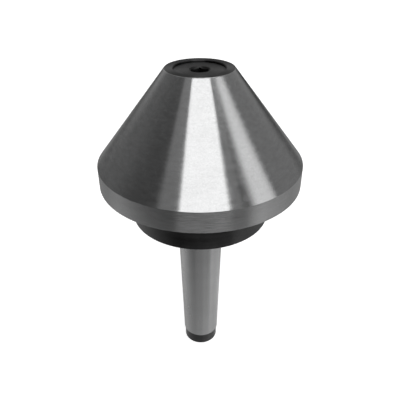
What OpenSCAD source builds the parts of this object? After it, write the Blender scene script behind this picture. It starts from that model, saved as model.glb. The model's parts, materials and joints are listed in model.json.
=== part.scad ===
// Live center with a bull-nose head: a 75 degree work cone turns on bearings
// around a stationary arbor with a Morse taper 3 shank.
// Origin: on the axis, in the gauge plane of the Morse taper. +Z points to the nose.

/* [Head] */
// Largest diameter of the head
head_d = 100; // [99:1:104]
// Diameter of the flat nose face
nose_d = 32; // [31:0.5:32.5]
// Included angle of the work cone
cone_angle = 75; // [73:0.5:75.5]
// Height of the cylindrical rim behind the cone
rim_h = 10.3; // [9.5:0.1:13]
// Gap between the turning head and the arbor's flange
running_gap = 0.5; // [0.3:0.1:0.8]

/* [Arbor] */
// Diameter of the taper in the gauge plane, Morse taper 3
gauge_d = 23.825; // [23.8:0.005:23.85]
// Taper on diameter per millimetre of length, Morse taper 3
taper_rate = 0.0502; // [0.05:0.0001:0.0504]
// Length of the taper above the gauge plane
taper_above = 5; // [4:0.5:7]
// Length of the shank below the gauge plane
shank_l = 82; // [76:0.5:86]
// Diameter of the relieved end of the shank
spigot_d = 19; // [18:0.1:19.2]
// Length of the relieved end of the shank
spigot_l = 7; // [4:0.5:8]
// Length of the plain neck between the taper and the flange
neck_l = 4.7; // [3:0.1:8]
// Diameter of the flange
flange_d = 69.7; // [68:0.1:72]
// Height of the flange
flange_h = 19.8; // [19.6:0.1:20.8]

/* [Nose plug] */
// Diameter of the threaded plug
plug_d = 24; // [23.5:0.1:24.5]
// Depth of the plug's face below the nose face
plug_recess = 0.9; // [0.4:0.1:1.3]
// Size of the hexagon socket across flats
hex_af = 8; // [6:1:10]
// Depth of the hexagon socket
hex_depth = 4.6; // [4:0.1:4.8]

/* [Bearings] */
// Balls in the rear bearing, 30 x 62 x 16 deep groove
rear_ball_n = 9; // [7:1:10]
// Balls in the front bearing, 17 x 40 x 12 deep groove
front_ball_n = 8; // [6:1:9]
// Balls in the thrust bearing, 35 x 52 x 12
thrust_ball_n = 17; // [12:1:18]

/* [Hidden] */
$fn = 96;
eps = 0.01;        // how far a cutter passes the face that it opens
seat_gap = 0.01;   // radial gap in a bearing seat or a thread
ball_play = 0.06;  // gap between a ball and its raceway
pocket_gap = 0.18; // gap between a ball and its cage pocket
edge = 0.5;        // general edge break
ring_edge = 0.3;   // edge break on rings and bearing parts
fine_edge = 0.1;   // edge break on thin sheet, sharp corners and fine seams

// A deep-groove bearing: bore radius, outer radius, width, ball diameter, number of balls,
// land radius of the inner ring, land radius of the outer ring
rear_bearing = [15, 31, 16, 9.525, rear_ball_n, 20.15, 25.95];
front_bearing = [8.5, 20, 12, 6.747, front_ball_n, 12.2, 16.5];
function bore_r(b) = b[0];
function outer_r(b) = b[1];
function width(b) = b[2];
function ball_r(b) = b[3] / 2;
function ball_n(b) = b[4];
function inner_land_r(b) = b[5];
function outer_land_r(b) = b[6];
function pitch_r(b) = (bore_r(b) + outer_r(b)) / 2;

// A bearing closure: inset from the ring's end, thickness, depth of its groove, gap at the inner ring
rear_closure = [0.7, 1.1, 1.2, 0.2];
front_closure = [0.5, 0.6, 0.8, 0.3];
function inset(c) = c[0];
function closure_t(c) = c[1];
function groove_depth(c) = c[2];
function lip_gap(c) = c[3];

// Thrust bearing
thrust_bore_r = 17.5;
thrust_outer_r = 26;
thrust_h = 12;
thrust_ball_d = 6.35;
thrust_washer_t = 3.9;
thrust_clearance = 1; // radial clearance of each thrust washer on the side that it isn't seated
thrust_pitch_r = (thrust_bore_r + thrust_outer_r) / 2;

// Face seal and its groove in the flange
seal_ri = 30;
seal_ro = 32.6;
seal_depth = 3;

// Retainer in the back of the head, and how far the upper thrust washer sits in it
retainer_r = 33;
retainer_h = 5.5;
retainer_seat = 1.5;

// Lock nut M12 x 1 and its tab washer
thread_r = 6;
washer_t = 1;
nut_r = 11;
nut_h = 4;
thread_stub = 1.5; // thread that shows above the nut
plug_gap = 1.7;    // from the spindle's end to the nose plug
slot_w = 3;
slot_depth = 2;
keyway_w = 3.2;
keyway_depth = 1.6;
keyway_floor_r = thread_r - keyway_depth;

// Centre holes in the ends of the arbor: mouth radius, pilot radius, depth
centre_angle = 60;
shank_centre = [4, 1.575, 9];
spindle_centre = [2.5, 1, 5];

// Circlip groove behind the front bearing
circlip_t = 1.75;
circlip_groove_w = 1.85;
circlip_groove_depth = 1.25;
circlip_groove_r = outer_r(front_bearing) + circlip_groove_depth;

// Inner spacer between the two bearings
spacer_h = 6;
spacer_seat_r = 12;
spacer_seat_h = 3;

// Levels along the axis
flange_z = taper_above + neck_l;
flange_top_z = flange_z + flange_h;
head_z = flange_top_z + running_gap;
thrust_top_z = head_z + retainer_seat;
thrust_z = thrust_top_z - thrust_h;
rear_z = head_z + retainer_h;
rear_top_z = rear_z + width(rear_bearing);
front_z = rear_top_z + spacer_h;
washer_z = front_z + width(front_bearing);
nut_z = washer_z + washer_t;
spindle_top_z = nut_z + nut_h + thread_stub;
plug_z = spindle_top_z + plug_gap;
cone_z = head_z + rim_h;
head_r = head_d / 2;
nose_r = nose_d / 2;
cone_slope = tan(cone_angle / 2);
nose_z = cone_z + (head_r - nose_r) / cone_slope;
plug_top_z = nose_z - plug_recess;

plug_r = plug_d / 2;
spigot_r = spigot_d / 2;
flange_r = flange_d / 2;

black = [0.10, 0.10, 0.11];
ground = [0.62, 0.63, 0.65];
bright = [0.78, 0.79, 0.81];
brass = [0.72, 0.60, 0.32];
rubber = [0.05, 0.05, 0.06];

// Radius of the Morse taper at height z
function taper_r(z) = (gauge_d + z * taper_rate) / 2;

// A solid of revolution from an outline of [radius, height] points
module turned(outline) {
    rotate_extrude() polygon(outline);
}

// A plain ring with edges broken by c
module ring(ri, ro, z0, z1, c = ring_edge) {
    turned([
        [ri + c, z0], [ro - c, z0], [ro, z0 + c], [ro, z1 - c],
        [ro - c, z1], [ri + c, z1], [ri, z1 - c], [ri, z0 + c]
    ]);
}

// Torus that cuts a raceway round the axis
module raceway(pitch, z, groove_r) {
    rotate_extrude() translate([pitch, z]) circle(r = groove_r);
}

// Children repeated n times round the axis at radius r
module round_axis(n, r) {
    for (i = [0 : n - 1]) {
        rotate([0, 0, i * 360 / n]) translate([r, 0, 0]) children();
    }
}

// --- Arbor side: everything that stands still in the tailstock ---

module arbor() {
    step_edge = 0.25;      // edge break where the taper drops to the relieved end
    flange_edge = 0.15;
    end_edge = 0.25;
    recess_r = thrust_outer_r + edge;
    journal_gap = 0.4;     // how far each journal stops short of its ring's end
    taper_end_z = spigot_l - shank_l;
    color(ground) difference() {
        turned([
            [0, -shank_l],
            [spigot_r - end_edge, -shank_l],
            [spigot_r, end_edge - shank_l],
            [spigot_r, taper_end_z],
            [taper_r(taper_end_z) - step_edge, taper_end_z],
            [taper_r(taper_end_z + step_edge), taper_end_z + step_edge],
            [taper_r(taper_above), taper_above],
            [taper_r(taper_above), flange_z],
            [flange_r - flange_edge, flange_z],
            [flange_r, flange_z + flange_edge],
            [flange_r, flange_top_z - flange_edge],
            [flange_r - flange_edge, flange_top_z],
            [seal_ro, flange_top_z],
            [seal_ro, flange_top_z - seal_depth],
            [seal_ri, flange_top_z - seal_depth],
            [seal_ri, flange_top_z],
            [recess_r, flange_top_z],
            [recess_r, thrust_z],
            [thrust_bore_r, thrust_z],
            [thrust_bore_r, rear_z],
            [bore_r(rear_bearing), rear_z],
            [bore_r(rear_bearing), rear_top_z - journal_gap],
            [spacer_seat_r, rear_top_z - journal_gap],
            [spacer_seat_r, rear_top_z + spacer_seat_h],
            [bore_r(front_bearing), rear_top_z + spacer_seat_h],
            [bore_r(front_bearing), washer_z - journal_gap],
            [thread_r, washer_z - journal_gap],
            [thread_r, spindle_top_z - edge],
            [thread_r - edge, spindle_top_z],
            [0, spindle_top_z]
        ]);
        translate([0, 0, -shank_l]) centre_hole(shank_centre);
        translate([0, 0, spindle_top_z]) mirror([0, 0, 1]) centre_hole(spindle_centre);
        keyway();
    }
}

// Countersunk centre hole of [mouth radius, pilot radius, depth], opening at z = 0 and going up
module centre_hole(size) {
    mouth_r = size[0];
    pilot_r = size[1];
    depth = size[2];
    sink = (mouth_r - pilot_r) / tan(centre_angle / 2);
    translate([0, 0, -eps]) cylinder(r = pilot_r, h = depth + eps);
    turned([[0, -eps], [mouth_r, -eps], [mouth_r, 0], [pilot_r, sink], [0, sink]]);
}

// Slot along the spindle thread for the lock washer's inner tab
module keyway() {
    translate([keyway_floor_r, -keyway_w / 2, washer_z - edge])
        cube([thread_r, keyway_w, spindle_top_z - washer_z + 2 * edge]);
}

// Ring seal, its lip close to the turning face
module dust_seal() {
    lip_gap = 0.08;
    lip_w = 0.6;
    shoulder_drop = 0.4;   // how far the body stays below the flange's face
    body_top = flange_top_z - shoulder_drop;
    waist_r = (seal_ri + seal_ro) / 2;
    color(rubber) turned([
        [seal_ri, flange_top_z - seal_depth],
        [seal_ro, flange_top_z - seal_depth],
        [seal_ro, body_top],
        [seal_ro - lip_w / 2, head_z - lip_gap],
        [seal_ro - lip_w, head_z - lip_gap],
        [waist_r, body_top - edge],
        [seal_ri, body_top - edge]
    ]);
}

// Thrust washer from height z, with the raceway cut where the balls run
module thrust_washer(ri, ro, z) {
    ball_z = thrust_z + thrust_h / 2;
    color(bright) difference() {
        ring(ri, ro, z, z + thrust_washer_t);
        raceway(thrust_pitch_r, ball_z, thrust_ball_d / 2 + ball_play);
    }
}

module thrust_washer_lower() {
    thrust_washer(thrust_bore_r + seat_gap, thrust_outer_r - seat_gap, thrust_z);
}

module thrust_washer_upper() {
    thrust_washer(thrust_bore_r + thrust_clearance, thrust_outer_r, thrust_top_z - thrust_washer_t);
}

// Inner ring of bearing b, standing on height z
module inner_ring(b, z) {
    color(bright) difference() {
        ring(bore_r(b) + seat_gap, inner_land_r(b), z, z + width(b));
        raceway(pitch_r(b), z + width(b) / 2, ball_r(b) + ball_play);
    }
}

// Outer ring of bearing b, grooved at both ends for the closures c
module outer_ring(b, c, z) {
    color(bright) difference() {
        ring(outer_land_r(b), outer_r(b), z, z + width(b));
        raceway(pitch_r(b), z + width(b) / 2, ball_r(b) + ball_play);
        for (z0 = closure_levels(b, c, z)) {
            translate([0, 0, z0]) cylinder(r = outer_land_r(b) + groove_depth(c), h = closure_t(c));
        }
    }
}

// The two heights at which bearing b's closures start
function closure_levels(b, c, z) = [z + inset(c), z + width(b) - inset(c) - closure_t(c)];

// The pair of closures, snapped into the outer ring's grooves
module closures(b, c, z) {
    snap_gap = 0.05;
    for (z0 = closure_levels(b, c, z)) {
        ring(
            inner_land_r(b) + lip_gap(c), outer_land_r(b) + groove_depth(c) - snap_gap,
            z0, z0 + closure_t(c), fine_edge
        );
    }
}

module rear_inner_ring() {
    inner_ring(rear_bearing, rear_z);
}

module front_inner_ring() {
    inner_ring(front_bearing, front_z);
}

// Stepped sleeve that carries the nut's clamping force from ring to ring
module inner_spacer() {
    collar_h = 2.4;        // full width under the rear ring
    nose_h = 0.6;          // straight part under the front ring
    collar_step = 1.2;     // how far each end stays inside its ring's land
    nose_step = 0.3;
    wide_r = inner_land_r(rear_bearing) - collar_step;
    narrow_r = inner_land_r(front_bearing) - nose_step;
    color(ground) turned([
        [spacer_seat_r + seat_gap, rear_top_z],
        [wide_r, rear_top_z],
        [wide_r, rear_top_z + collar_h],
        [narrow_r, front_z - nose_h],
        [narrow_r, front_z],
        [bore_r(front_bearing) + seat_gap, front_z],
        [bore_r(front_bearing) + seat_gap, rear_top_z + spacer_seat_h],
        [spacer_seat_r + seat_gap, rear_top_z + spacer_seat_h]
    ]);
}

// Washer with a tab in the keyway and a tab bent up into a slot of the nut
module lock_washer() {
    bore_gap = 0.1;
    tab_gap = 0.2;
    tab_root = 1;          // how far the inner tab reaches into the washer's body
    tab_w = slot_w - 2 * tab_gap;
    bent_t = 0.9;
    bent_h = 2.6;
    body_r = nut_r - tab_gap;
    key_tab_w = keyway_w - 2 * tab_gap;
    color(ground) union() {
        ring(thread_r + bore_gap, body_r, washer_z, nut_z, fine_edge);
        translate([keyway_floor_r + tab_gap, -key_tab_w / 2, washer_z])
            cube([thread_r + tab_root - keyway_floor_r, key_tab_w, washer_t]);
        translate([-body_r, -tab_w / 2, washer_z + washer_t / 2])
            cube([bent_t, tab_w, washer_t / 2 + bent_h]);
    }
}

// Round nut with slots for a hook spanner
module lock_nut() {
    slot_n = 4;
    color(black) difference() {
        ring(thread_r + seat_gap, nut_r, nut_z, nut_z + nut_h);
        round_axis(slot_n, nut_r - slot_depth)
            translate([0, -slot_w / 2, nut_z - edge]) cube([2 * slot_depth, slot_w, nut_h + 2 * edge]);
    }
}

// --- Head side: everything that turns with the work ---

module cone_head() {
    nose_chamfer = 0.3;
    bore_chamfer = 0.35;   // mouth of the plug's bore
    nut_clearance = 0.3;   // lets the lock nut through from the nose
    relief_h = 1.5;        // undercut above the front outer ring
    relief_r = outer_land_r(front_bearing);
    access_r = nut_r + nut_clearance;
    rear_seat_r = outer_r(rear_bearing) + seat_gap;
    front_seat_r = outer_r(front_bearing) + seat_gap;
    color(ground) turned([
        [retainer_r, head_z],
        [head_r - fine_edge, head_z],
        [head_r, head_z + fine_edge],
        [head_r, cone_z],
        [nose_r + nose_chamfer * cone_slope, nose_z - nose_chamfer],
        [nose_r - fine_edge, nose_z],
        [plug_r + bore_chamfer, nose_z],
        [plug_r, nose_z - bore_chamfer],
        [plug_r, plug_z],
        [access_r, plug_z],
        [access_r, washer_z + relief_h],
        [relief_r, washer_z + relief_h],
        [relief_r, washer_z],
        [front_seat_r, washer_z],
        [front_seat_r, front_z],
        [circlip_groove_r, front_z],
        [circlip_groove_r, front_z - circlip_groove_w],
        [front_seat_r, front_z - circlip_groove_w],
        [front_seat_r, rear_top_z],
        [rear_seat_r, rear_top_z],
        [rear_seat_r, rear_z],
        [retainer_r, rear_z]
    ]);
}

// Threaded plug with a hexagon socket, its corners on the Y axis.
// The countersink is a little wider than the corners, so its rim is scalloped.
module nose_plug() {
    r = plug_r - seat_gap;
    floor_t = 1;
    rim = 0.35;            // countersink beyond the hexagon's corners, and inside its flats
    sink_angle = 90;
    corner_r = hex_af / 2 / cos(30);
    mouth_r = corner_r + rim;
    throat_r = hex_af / 2 - rim;
    sink = (mouth_r - throat_r) / tan(sink_angle / 2);
    depth = min(hex_depth, plug_top_z - plug_z - floor_t);
    color(black) difference() {
        turned([
            [0, plug_z],
            [r - edge, plug_z],
            [r, plug_z + edge],
            [r, plug_top_z - fine_edge],
            [r - fine_edge, plug_top_z],
            [0, plug_top_z]
        ]);
        translate([0, 0, plug_top_z - depth]) linear_extrude(depth + edge)
            rotate([0, 0, 90]) circle(r = corner_r, $fn = 6);
        turned([
            [0, plug_top_z - sink],
            [throat_r, plug_top_z - sink],
            [mouth_r, plug_top_z],
            [mouth_r, plug_top_z + eps],
            [0, plug_top_z + eps]
        ]);
    }
}

// Threaded ring that clamps the rear outer ring and seats the upper thrust washer
module bearing_retainer() {
    r = retainer_r - seat_gap;
    seat_r = thrust_outer_r + seat_gap;
    lip_r = thrust_bore_r + thrust_clearance + edge;
    hole_n = 4;            // for a pin spanner
    hole_r = 1.6;
    hole_depth = 3;
    hole_pitch_r = (seat_r + r) / 2;
    clamp_ri = inner_land_r(rear_bearing) + edge;
    lip_top_z = rear_z - edge;
    color(black) difference() {
        turned([
            [seat_r, head_z],
            [r - edge, head_z],
            [r, head_z + edge],
            [r, rear_z],
            [outer_land_r(rear_bearing), rear_z],
            [clamp_ri, lip_top_z],
            [lip_r, lip_top_z],
            [lip_r, thrust_top_z],
            [seat_r, thrust_top_z]
        ]);
        round_axis(hole_n, hole_pitch_r) translate([0, 0, head_z - eps]) cylinder(r = hole_r, h = hole_depth);
    }
}

module rear_outer_ring() {
    outer_ring(rear_bearing, rear_closure, rear_z);
}

module rear_seals() {
    color(rubber) closures(rear_bearing, rear_closure, rear_z);
}

module front_outer_ring() {
    outer_ring(front_bearing, front_closure, front_z);
}

module front_shields() {
    color(ground) closures(front_bearing, front_closure, front_z);
}

// Internal retaining ring with two plier lugs, touching the front outer ring
module front_circlip() {
    groove_gap = 0.15;
    ring_r = circlip_groove_r - groove_gap;
    ring_w = 3;
    offset_x = 0.6;        // makes the ring narrower towards its lugs
    gap_w = 3;
    lug_r = 2;
    hole_r = 0.9;
    lug_pitch_r = ring_r - ring_w;
    lug_angle = 12;
    color(black) translate([0, 0, front_z - circlip_t]) linear_extrude(circlip_t) difference() {
        union() {
            difference() {
                circle(r = ring_r);
                translate([offset_x, 0]) circle(r = ring_r - ring_w);
            }
            lugs(lug_angle, lug_pitch_r, lug_r);
        }
        translate([0, -gap_w / 2]) square([ring_r + edge, gap_w]);
        lugs(lug_angle, lug_pitch_r, hole_r);
    }
}

// Two circles on either side of the X axis
module lugs(angle, r, lug_r) {
    for (side = [-1, 1]) {
        rotate([0, 0, side * angle]) translate([r, 0]) circle(r = lug_r);
    }
}

// --- Rolling elements: they follow the head at about half its speed ---

// Set of n balls of radius r at height z
module ball_set(n, pitch, r, z) {
    color(bright) round_axis(n, pitch) translate([0, 0, z]) sphere(r = r);
}

// Solid cage for bearing b: a band with a spherical pocket for each ball
module ball_cage(b, z, band_w) {
    side_t = 0.6;
    pocket_r = ball_r(b) + pocket_gap;
    half_h = pocket_r + side_t;
    mid_z = z + width(b) / 2;
    color(brass) difference() {
        ring(pitch_r(b) - band_w / 2, pitch_r(b) + band_w / 2, mid_z - half_h, mid_z + half_h);
        round_axis(ball_n(b), pitch_r(b)) translate([0, 0, mid_z]) sphere(r = pocket_r);
    }
}

module rear_balls() {
    b = rear_bearing;
    ball_set(ball_n(b), pitch_r(b), ball_r(b), rear_z + width(b) / 2);
}

module rear_cage() {
    band_w = 2.8;
    ball_cage(rear_bearing, rear_z, band_w);
}

module front_balls() {
    b = front_bearing;
    ball_set(ball_n(b), pitch_r(b), ball_r(b), front_z + width(b) / 2);
}

module front_cage() {
    band_w = 2.1;
    ball_cage(front_bearing, front_z, band_w);
}

module thrust_balls() {
    ball_set(thrust_ball_n, thrust_pitch_r, thrust_ball_d / 2, thrust_z + thrust_h / 2);
}

// Flat cage with a round pocket for each thrust ball
module thrust_cage() {
    cage_h = 2.6;
    band_w = 6.8;
    z0 = thrust_z + (thrust_h - cage_h) / 2;
    color(brass) difference() {
        ring(thrust_pitch_r - band_w / 2, thrust_pitch_r + band_w / 2, z0, z0 + cage_h);
        round_axis(thrust_ball_n, thrust_pitch_r)
            translate([0, 0, z0 - edge]) cylinder(r = thrust_ball_d / 2 + pocket_gap, h = cage_h + 2 * edge);
    }
}

arbor();
dust_seal();
thrust_washer_lower();
rear_inner_ring();
inner_spacer();
front_inner_ring();
lock_washer();
lock_nut();
cone_head();
nose_plug();
bearing_retainer();
thrust_washer_upper();
rear_outer_ring();
rear_seals();
front_outer_ring();
front_shields();
front_circlip();
thrust_balls();
thrust_cage();
rear_balls();
rear_cage();
front_balls();
front_cage();
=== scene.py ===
"""Looks for the bull-nose live center: ground steel, black oxide and a soft studio."""
import json
import math

import bmesh
import bpy
from mathutils import Matrix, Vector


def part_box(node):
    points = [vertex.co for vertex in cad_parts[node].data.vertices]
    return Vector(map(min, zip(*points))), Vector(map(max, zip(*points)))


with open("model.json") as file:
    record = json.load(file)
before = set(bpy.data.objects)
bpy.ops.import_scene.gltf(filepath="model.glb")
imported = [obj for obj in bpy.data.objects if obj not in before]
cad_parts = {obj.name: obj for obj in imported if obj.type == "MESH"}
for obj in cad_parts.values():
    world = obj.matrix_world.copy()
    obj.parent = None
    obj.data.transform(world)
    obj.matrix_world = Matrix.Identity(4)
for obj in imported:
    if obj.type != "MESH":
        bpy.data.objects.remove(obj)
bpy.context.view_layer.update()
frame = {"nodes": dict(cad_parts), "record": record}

# ---------------------------------------------------------------- places that the CAD gives, in metres
MM = 0.001
HEAD_LOW, HEAD_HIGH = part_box("cone_head")
PLUG_LOW, PLUG_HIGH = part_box("nose_plug")
ARBOR_LOW, ARBOR_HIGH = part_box("arbor")

HEAD_R = HEAD_HIGH.x
NOSE_Z = HEAD_HIGH.z
RIM_Z = HEAD_LOW.z
PLUG_R = PLUG_HIGH.x
FLANGE_R = ARBOR_HIGH.x
SEAL_DEPTH = 3.0 * MM                     # depth of the seal's groove in the flange
FLANGE_TOP_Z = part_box("dust_seal")[0].z + SEAL_DEPTH
TAIL_Z = ARBOR_LOW.z
FLANGE_Z = 9.7 * MM                       # lower face of the flange
STEP_Z = TAIL_Z + 7.0 * MM                # where the taper drops to the relieved tip
TIP_R = 9.5 * MM                          # radius of the relieved tip
NOSE_R = 16.0 * MM
NECK_R = 12.04 * MM
CONE_Z = 40.3 * MM                        # edge between the rim and the cone
BORE_CHAMFER = 0.35 * MM                  # at the mouth of the plug's bore


# ---------------------------------------------------------------- node helpers

class Tree:
    """Short calls for building a shader's node tree."""

    def __init__(self, node_tree):
        self.nodes = node_tree.nodes
        self.links = node_tree.links
        self.nodes.clear()

    def put(self, value, socket):
        """Links a socket, or sets a number or a colour."""
        if isinstance(value, bpy.types.NodeSocket):
            self.links.new(value, socket)
        else:
            socket.default_value = value

    def math(self, operation, a, b=None, clamp=False):
        node = self.nodes.new("ShaderNodeMath")
        node.operation = operation
        node.use_clamp = clamp
        self.put(a, node.inputs[0])
        if b is not None:
            self.put(b, node.inputs[1])
        return node.outputs[0]

    def add(self, *values):
        total = values[0]
        for value in values[1:]:
            total = self.math("ADD", total, value)
        return total

    def times(self, *values):
        product = values[0]
        for value in values[1:]:
            product = self.math("MULTIPLY", product, value)
        return product

    def split(self, vector):
        node = self.nodes.new("ShaderNodeSeparateXYZ")
        self.links.new(vector, node.inputs[0])
        return node.outputs[0], node.outputs[1], node.outputs[2]

    def coordinates(self, name):
        return self.nodes.new("ShaderNodeTexCoord").outputs[name]

    def vector(self, x, y, z):
        node = self.nodes.new("ShaderNodeCombineXYZ")
        for value, socket in zip((x, y, z), node.inputs):
            self.put(value, socket)
        return node.outputs[0]

    def noise(self, vector, scale, detail=2.0, roughness=0.5):
        node = self.nodes.new("ShaderNodeTexNoise")
        self.links.new(vector, node.inputs["Vector"])
        node.inputs["Scale"].default_value = scale
        node.inputs["Detail"].default_value = detail
        node.inputs["Roughness"].default_value = roughness
        return node.outputs["Fac"]

    def span(self, value, low, high, to_low=0.0, to_high=1.0, smooth=False):
        """value mapped from low..high to to_low..to_high, clamped."""
        node = self.nodes.new("ShaderNodeMapRange")
        node.clamp = True
        if smooth:
            node.interpolation_type = "SMOOTHSTEP"
        self.put(value, node.inputs["Value"])
        limits = {"From Min": low, "From Max": high, "To Min": to_low, "To Max": to_high}
        for name, number in limits.items():
            self.put(number, node.inputs[name])
        return node.outputs["Result"]

    def vary(self, noise, amount, low=0.3):
        """A noise's middle range, mapped to plus or minus amount."""
        return self.span(noise, low, 1.0 - low, -amount, amount)

    def mix_colour(self, factor, a, b):
        node = self.nodes.new("ShaderNodeMix")
        node.data_type = "RGBA"
        self.put(factor, node.inputs["Factor"])
        self.put(a, node.inputs["A"])
        self.put(b, node.inputs["B"])
        return node.outputs["Result"]

    def mix_value(self, factor, a, b):
        node = self.nodes.new("ShaderNodeMix")
        node.data_type = "FLOAT"
        self.put(factor, node.inputs[0])
        self.put(a, node.inputs[2])
        self.put(b, node.inputs[3])
        return node.outputs[0]


class Surface(Tree):
    """A material with one Principled shader, and the point's place on a turned part."""

    def __init__(self, name):
        self.material = bpy.data.materials.new(name)
        self.material.use_nodes = True
        super().__init__(self.material.node_tree)
        output = self.nodes.new("ShaderNodeOutputMaterial")
        self.shader = self.nodes.new("ShaderNodeBsdfPrincipled")
        self.links.new(self.shader.outputs[0], output.inputs["Surface"])
        self.place = self.coordinates("Object")
        self.x, self.y, self.z = self.split(self.place)
        squares = self.add(self.times(self.x, self.x), self.times(self.y, self.y))
        self.r = self.math("SQRT", squares)

    def set(self, name, value):
        self.put(value, self.shader.inputs[name])

    def bump(self, height, strength, distance):
        node = self.nodes.new("ShaderNodeBump")
        node.inputs["Strength"].default_value = strength
        node.inputs["Distance"].default_value = distance
        self.links.new(height, node.inputs["Height"])
        self.links.new(node.outputs[0], self.shader.inputs["Normal"])

    def below(self, value, level, soft=0.02 * MM):
        """1 where value is under level, 0 over it."""
        return self.span(value, level - soft, level + soft, 1.0, 0.0)

    def above(self, value, level, soft=0.02 * MM):
        return self.span(value, level - soft, level + soft)

    def near(self, radius, height, width):
        """1 on the circle of that radius and height, falling to 0 at width from it."""
        dr = self.math("SUBTRACT", self.r, radius)
        dz = self.math("SUBTRACT", self.z, height)
        gap = self.math("SQRT", self.add(self.times(dr, dr), self.times(dz, dz)))
        return self.span(gap, 0.0, width, 1.0, 0.0)

    def grooves(self, per_metre, across=2.0, detail=3.0):
        """Marks of turning: noise that is fine along the profile and long round the axis."""
        safe_r = self.math("MAXIMUM", self.r, 0.05 * MM)
        turn_x = self.times(self.math("DIVIDE", self.x, safe_r), across)
        turn_y = self.times(self.math("DIVIDE", self.y, safe_r), across)
        profile = self.times(self.add(self.z, self.r), per_metre)
        return self.noise(self.vector(turn_x, turn_y, profile), 1.0, detail, 0.6)

    def brushed(self, amount):
        """Grooves run round the axis, so highlights spread along the profile."""
        tangent = self.nodes.new("ShaderNodeTangent")
        tangent.direction_type = "RADIAL"
        tangent.axis = "Z"
        self.links.new(tangent.outputs[0], self.shader.inputs["Tangent"])
        self.shader.inputs["Anisotropic"].default_value = amount
        self.shader.inputs["Anisotropic Rotation"].default_value = 0.25


def grey(value, warmth=0.0):
    """A neutral colour, a little warmer or cooler."""
    return (value * (1 + warmth), value, value * (1 - warmth), 1.0)


# ---------------------------------------------------------------- materials
STEEL_WARMTH = -0.004          # a touch of blue in the ground steel


def ground_and_black(name, black_mask, worn_mask, painted_shade_mask, steel_finish, oxide_finish, oxide_tone,
                     anisotropy, grain, other_mask=None, other_finish=0.0):
    """Steel blackened all over, then ground bright on its working surfaces.

    black_mask says where the black oxide is left, worn_mask where its edges have rubbed bright and
    painted_shade_mask where near-black shade is painted into a recess or corner. The finishes are
    roughnesses, and other_mask says where the steel has other_finish. grain is how strongly the
    steel's small marks show.
    """
    s = Surface(name)
    black = black_mask(s)
    worn = worn_mask(s)
    fine = s.grooves(3200.0, across=9.0)
    broad = s.grooves(420.0, across=1.5, detail=2.0)
    speckle = s.noise(s.place, 1500.0, detail=2.0, roughness=0.7)
    mottle = s.noise(s.place, 70.0, detail=4.0, roughness=0.6)
    smudge = s.noise(s.place, 28.0, detail=5.0, roughness=0.7)

    # The oxide rubs off its edges in patches
    patch = s.span(s.noise(s.place, 900.0, detail=4.0, roughness=0.7), 0.42, 0.62)
    worn = s.times(worn, s.span(patch, 0.0, 1.0, 0.35, 1.0))
    black = s.math("SUBTRACT", black, s.times(worn, black), clamp=True)

    steel_mottle = s.add(
        0.5, s.vary(fine, 0.1 * grain), s.vary(speckle, 0.09 * grain), s.vary(broad, 0.03),
        s.vary(mottle, 0.05))
    steel = s.mix_colour(steel_mottle, grey(0.42, STEEL_WARMTH), grey(0.72, STEEL_WARMTH))
    oxide_mottle = s.add(0.5, s.vary(mottle, 0.22), s.vary(speckle, 0.2), s.vary(broad, 0.1))
    oxide = s.mix_colour(oxide_mottle, grey(oxide_tone * 0.6), grey(oxide_tone * 1.4))
    finish = s.mix_colour(black, steel, oxide)
    # Painted shade: a near-black colour mixed in over the recess or corner that the shade mask marks
    s.set("Base Color", s.mix_colour(painted_shade_mask(s), finish, grey(0.012)))

    if other_mask:
        steel_finish = s.mix_value(other_mask(s), steel_finish, other_finish)
    steel_rough = s.add(
        steel_finish, s.vary(fine, 0.027 * grain ** 2, 0.25), s.span(smudge, 0.35, 0.7, -0.01, 0.02))
    oxide_rough = s.add(
        oxide_finish, s.vary(broad, 0.03, 0.25), s.span(smudge, 0.35, 0.7, -0.03, 0.05))
    s.set("Roughness", s.mix_value(black, steel_rough, oxide_rough))
    s.set("Metallic", 1.0)
    s.brushed(anisotropy)
    s.bump(fine, 0.12, 0.002 * MM)
    return s.material


def head_black(s):
    """Nose face, the plug's bore and the underside."""
    top = s.above(s.z, NOSE_Z - 0.06 * MM)
    bore = s.times(s.below(s.r, PLUG_R + BORE_CHAMFER + 0.05 * MM), s.above(s.z, PLUG_LOW.z))
    under = s.times(s.below(s.z, RIM_Z + 0.03 * MM), s.below(s.r, HEAD_R - 0.3 * MM))
    return s.math("MAXIMUM", s.math("MAXIMUM", top, bore), under)


def head_worn(s):
    """The edge of the nose face and the rim's lower edge."""
    return s.math("MAXIMUM", s.near(NOSE_R, NOSE_Z, 0.25 * MM), s.near(HEAD_R, RIM_Z, 0.8 * MM))


def head_rim(s):
    """The cylindrical rim."""
    return s.below(s.z, CONE_Z)


def head_painted_shade(s):
    """Painted shade on the wall of the recess above the plug."""
    return s.times(s.below(s.r, PLUG_R + 0.1 * MM), s.above(s.z, PLUG_LOW.z), 0.8)


def arbor_black(s):
    """The whole flange, and the tip of the shank."""
    flange = s.times(s.above(s.z, FLANGE_Z - 0.03 * MM), s.below(s.z, FLANGE_TOP_Z + 0.5 * MM))
    tip = s.below(s.z, STEP_Z - 0.02 * MM)
    return s.math("MAXIMUM", flange, tip)


def arbor_worn(s):
    """The flange's two corners and the end of the tip."""
    low_edge = s.near(FLANGE_R, FLANGE_Z, 0.3 * MM)
    high_edge = s.near(FLANGE_R, FLANGE_TOP_Z, 0.3 * MM)
    return s.math("MAXIMUM", s.math("MAXIMUM", low_edge, high_edge), s.near(TIP_R, TAIL_Z, 0.35 * MM))


def arbor_painted_shade(s):
    """Painted shade in the corner between the neck and the flange."""
    return s.times(s.near(NECK_R, FLANGE_Z, 1.0 * MM), 0.7)


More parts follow.
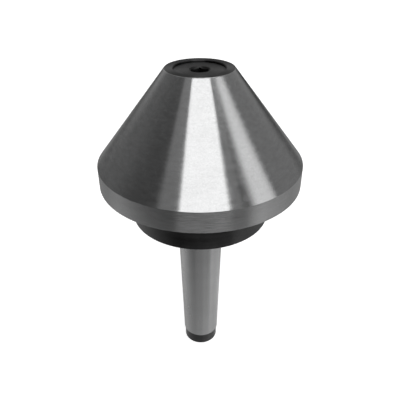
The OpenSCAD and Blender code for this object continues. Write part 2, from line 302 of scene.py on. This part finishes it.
def black_oxide(name, rim_r=None):
    """Satin black oxide on a turned part, with painted light: paler towards rim_r where one is given.
    """
    s = Surface(name)
    broad = s.grooves(900.0, across=4.0)
    speckle = s.noise(s.place, 1500.0, detail=2.0, roughness=0.7)
    mottle = s.noise(s.place, 120.0, detail=4.0, roughness=0.6)
    tone = s.add(0.5, s.vary(mottle, 0.2), s.vary(speckle, 0.25))
    colour = s.mix_colour(tone, grey(0.03), grey(0.075))
    if rim_r:
        # Painted light: the colour grows paler towards the rim to lift the shade there
        painted_light = s.mix_colour(tone, grey(0.047), grey(0.11))
        colour = s.mix_colour(s.span(s.r, 0.45 * rim_r, rim_r), colour, painted_light)
    s.set("Base Color", colour)
    s.set("Roughness", s.add(0.42, s.vary(broad, 0.05, 0.25), s.span(mottle, 0.3, 0.7, -0.04, 0.06)))
    s.set("Metallic", 1.0)
    s.brushed(0.7)
    s.bump(s.add(broad, s.times(speckle, 0.6)), 0.2, 0.003 * MM)
    return s.material


def machined(name, base, roughness, anisotropy):
    """A turned or polished metal. anisotropy is how strongly its grooves stretch highlights."""
    s = Surface(name)
    fine = s.grooves(2400.0, across=3.0)
    mottle = s.noise(s.place, 160.0, detail=3.0)
    tone = s.add(0.5, s.vary(fine, 0.2), s.vary(mottle, 0.15))
    dark = tuple(c * 0.85 for c in base) + (1.0,)
    light = tuple(min(c * 1.12, 1.0) for c in base) + (1.0,)
    s.set("Base Color", s.mix_colour(tone, dark, light))
    s.set("Roughness", s.add(
        roughness, s.vary(fine, 0.04, 0.25), s.span(mottle, 0.3, 0.7, -0.02, 0.03)))
    s.set("Metallic", 1.0)
    s.brushed(anisotropy)
    s.bump(fine, 0.15, 0.002 * MM)
    return s.material


def rubber(name):
    """Dull black rubber with a little dust."""
    s = Surface(name)
    grain = s.noise(s.place, 2600.0, detail=3.0)
    dust = s.noise(s.place, 90.0, detail=4.0, roughness=0.7)
    s.set("Base Color", s.mix_colour(s.span(dust, 0.4, 0.75), grey(0.018), grey(0.05)))
    s.set("Roughness", s.add(0.62, s.vary(grain, 0.08)))
    s.bump(grain, 0.3, 0.01 * MM)
    return s.material


SLOT_MATERIALS = {
    "black_oxide_steel": lambda: black_oxide("black_oxide"),
    "plain_steel": lambda: machined("plain_steel", (0.5, 0.5, 0.51), 0.38, 0.6),
    "bearing_steel": lambda: machined("bearing_steel", (0.72, 0.73, 0.75), 0.14, 0.3),
    "cage_brass": lambda: machined("cage_brass", (0.72, 0.53, 0.24), 0.3, 0.4),
    "seal_rubber": lambda: rubber("seal_rubber"),
}


def paint(node, material):
    """Gives a CAD node one material."""
    slots = frame["nodes"][node].data.materials
    slots.clear()
    slots.append(material)


made = {slot: make() for slot, make in SLOT_MATERIALS.items()}
own = {
    "cone_head": ground_and_black(
        "head_steel", head_black, head_worn, head_painted_shade, steel_finish=0.19, oxide_finish=0.36,
        oxide_tone=0.062, anisotropy=1.0, grain=1.1, other_mask=head_rim, other_finish=0.21),
    "arbor": ground_and_black(
        "arbor_steel", arbor_black, arbor_worn, arbor_painted_shade, steel_finish=0.26, oxide_finish=0.20,
        oxide_tone=0.088, anisotropy=0.8, grain=0.4),
    "nose_plug": black_oxide("plug_oxide", PLUG_R),
}
for part in frame["record"]["subparts"]:
    paint(part["node"], own.get(part["node"]) or made[part["material_slot"]])

# ---------------------------------------------------------------- camera
CAMERA_BACK = 203.88 * MM      # distance from the axis
CAMERA_UP = 56.28 * MM         # above the nose face
CAMERA_PITCH = math.radians(31.60)
CAMERA_ROLL = math.radians(-0.26)
FOCAL_SHARE = 1.14492          # focal length as a share of the sensor's width
SENSOR = 36.0

cam_data = bpy.data.cameras.new("camera")
cam_data.sensor_width = SENSOR
cam_data.lens = FOCAL_SHARE * SENSOR
cam_data.shift_x = -0.0007
cam_data.clip_start = 0.005
cam_data.clip_end = 50
camera = bpy.data.objects.new("camera", cam_data)
bpy.context.scene.collection.objects.link(camera)
camera.matrix_world = (
    Matrix.Translation((0, -CAMERA_BACK, NOSE_Z + CAMERA_UP))
    @ Matrix.Rotation(math.pi / 2 - CAMERA_PITCH, 4, "X")
    @ Matrix.Rotation(CAMERA_ROLL, 4, "Z"))
bpy.context.scene.camera = camera

# ---------------------------------------------------------------- studio
scene = bpy.context.scene
scene.view_settings.view_transform = "Standard"
scene.view_settings.look = "None"

ROOM = 0.015                   # even light from every side
BOUNCE = 0.40                  # what the pale floor adds from steeply below
BOUNCE_FROM, BOUNCE_FULL = -0.62, -0.74        # as the sine of the elevation
OVERHEAD = 0.12                # what the pale ceiling adds high up
OVERHEAD_FROM, OVERHEAD_FULL = 40, 60          # elevation in degrees

# The light is a set of softboxes round the object. Each has the azimuth of its middle (0 is the
# camera's side, positive to the right), half its width, its lowest and highest elevation, the
# softness of its sides and of its ends, all in degrees, then its radiance.
LEANING = [                    # lean over the object, so they look wider the higher they reach
    (5.8, 34.3, 10, 78, 2.4, 16, 1.50),    # key
    (5.8, 34.3, -7, 10, 2.4, 16, 1.0),     # its lower end
    (-44, 16, 20, 75, 10, 12, 0.155),      # the key's spill on the left
    (48, 10.5, 20, 75, 5, 12, 0.145),      # the key's spill on the right
]
UPRIGHT = [
    (73, 12.5, 5, 75, 2, 12, 0.91),        # strip on the right
    (66, 10, -44, 5, 8, 10, 0.13),         # the strip's light on the floor
    (108, 32, -10, 70, 40, 12, 0.165),     # pale wall behind on the right
    (-132, 42, -10, 60, 50, 12, 0.08),     # pale wall behind on the left
    (180, 40, 5, 60, 40, 12, 0.29),        # pale wall straight behind
    (180, 55, 50, 90, 30, 16, 0.22),       # ceiling behind
    (0, 180, 0, 90, 10, 12, 0.045),        # ceiling
    (127, 62, -37, -10, 40, 6, 0.29),      # floor on the right
    (-135, 52, -44, -10, 55, 8, 0.25),     # floor on the left
    (117, 66, -46, -37.5, 42, 2, 0.57),    # brighter floor on the right, outside the head's shade
    (-100, 45, -42.5, -35.6, 50, 3, 0.41), # the same on the left
    (42, 28, -60, -40, 25, 6, 0.14),       # the key's light on the floor
    (8, 36, -35, -20, 6, 3, 0.045),        # the same farther out
]
LEAN_LEVEL = 50                # elevation at which a leaning softbox has its stated azimuth
LEAN = 0.024                   # share by which its azimuths grow for each degree higher
LEAN_FROM = -8                 # no further narrowing lower than this many degrees under LEAN_LEVEL


def box_light(t, azimuth, elevation, box):
    """The light of one softbox in the direction of azimuth and elevation."""
    middle, half, low, high, side_soft, end_soft = (math.radians(v) for v in box[:-1])
    turn = t.nodes.new("ShaderNodeMath")
    turn.operation = "WRAP"
    t.put(t.math("SUBTRACT", azimuth, middle), turn.inputs[0])
    turn.inputs[1].default_value = math.pi
    turn.inputs[2].default_value = -math.pi
    off = t.math("ABSOLUTE", turn.outputs[0])
    return t.times(
        t.span(off, half + side_soft / 2, half - side_soft / 2, smooth=True),
        t.span(elevation, low - end_soft / 2, low + end_soft / 2, smooth=True),
        t.span(elevation, high + end_soft / 2, high - end_soft / 2, smooth=True),
        box[-1])


def light_the_room():
    """The world's light: an even room and the softboxes, by the direction that it comes from."""
    world = bpy.data.worlds.new("studio")
    scene.world = world
    world.use_nodes = True
    t = Tree(world.node_tree)
    output = t.nodes.new("ShaderNodeOutputWorld")
    background = t.nodes.new("ShaderNodeBackground")
    t.links.new(background.outputs[0], output.inputs["Surface"])
    x, y, z = t.split(t.coordinates("Generated"))
    azimuth = t.math("ARCTAN2", x, t.times(y, -1.0))
    elevation = t.math("ARCSINE", z)
    rise = t.math("SUBTRACT", elevation, math.radians(LEAN_LEVEL))
    rise = t.math("MAXIMUM", rise, math.radians(LEAN_FROM))
    leaning = t.math("DIVIDE", azimuth, t.add(1.0, t.times(rise, math.degrees(LEAN))))
    total = t.add(ROOM, t.span(z, BOUNCE_FROM, BOUNCE_FULL, 0.0, BOUNCE))
    total = t.add(total, t.span(
        elevation, math.radians(OVERHEAD_FROM), math.radians(OVERHEAD_FULL), 0.0, OVERHEAD))
    for box in LEANING:
        total = t.add(total, box_light(t, leaning, elevation, box))
    for box in UPRIGHT:
        total = t.add(total, box_light(t, azimuth, elevation, box))
    t.links.new(t.vector(total, total, total), background.inputs["Color"])


def stage_piece(name, mesh, emission):
    """A pale stage surface that no reflection on the object shows."""
    piece = bpy.data.objects.new(name, mesh)
    scene.collection.objects.link(piece)
    piece.visible_glossy = False
    s = Surface(name)
    s.set("Base Color", grey(0.9))
    s.set("Roughness", 0.9)
    s.set("Emission Color", grey(1.0))
    s.set("Emission Strength", emission)
    mesh.materials.append(s.material)
    return piece


def floor_mesh(half, z):
    """A square at height z that reaches half to each side."""
    mesh = bpy.data.meshes.new("floor")
    corners = [(-half, -half, z), (half, -half, z), (half, half, z), (-half, half, z)]
    mesh.from_pydata(corners, [], [(0, 1, 2, 3)])
    return mesh


def dome_mesh(radius, z):
    """A sphere round the whole stage, its middle at height z."""
    mesh = bpy.data.meshes.new("backdrop")
    shape = bmesh.new()
    bmesh.ops.create_uvsphere(
        shape, u_segments=64, v_segments=32, radius=radius, matrix=Matrix.Translation((0, 0, z)))
    shape.to_mesh(mesh)
    shape.free()
    return mesh


FLOOR_HALF = 6.0
DOME_R = 5.0

light_the_room()
floor = stage_piece("floor", floor_mesh(FLOOR_HALF, TAIL_Z), 0.75)
floor.visible_shadow = False              # the world's light from below stands for its reflection
backdrop = stage_piece("backdrop", dome_mesh(DOME_R, TAIL_Z), 1.0)
backdrop.visible_diffuse = False          # only the camera sees it, so it adds no light
backdrop.visible_shadow = False
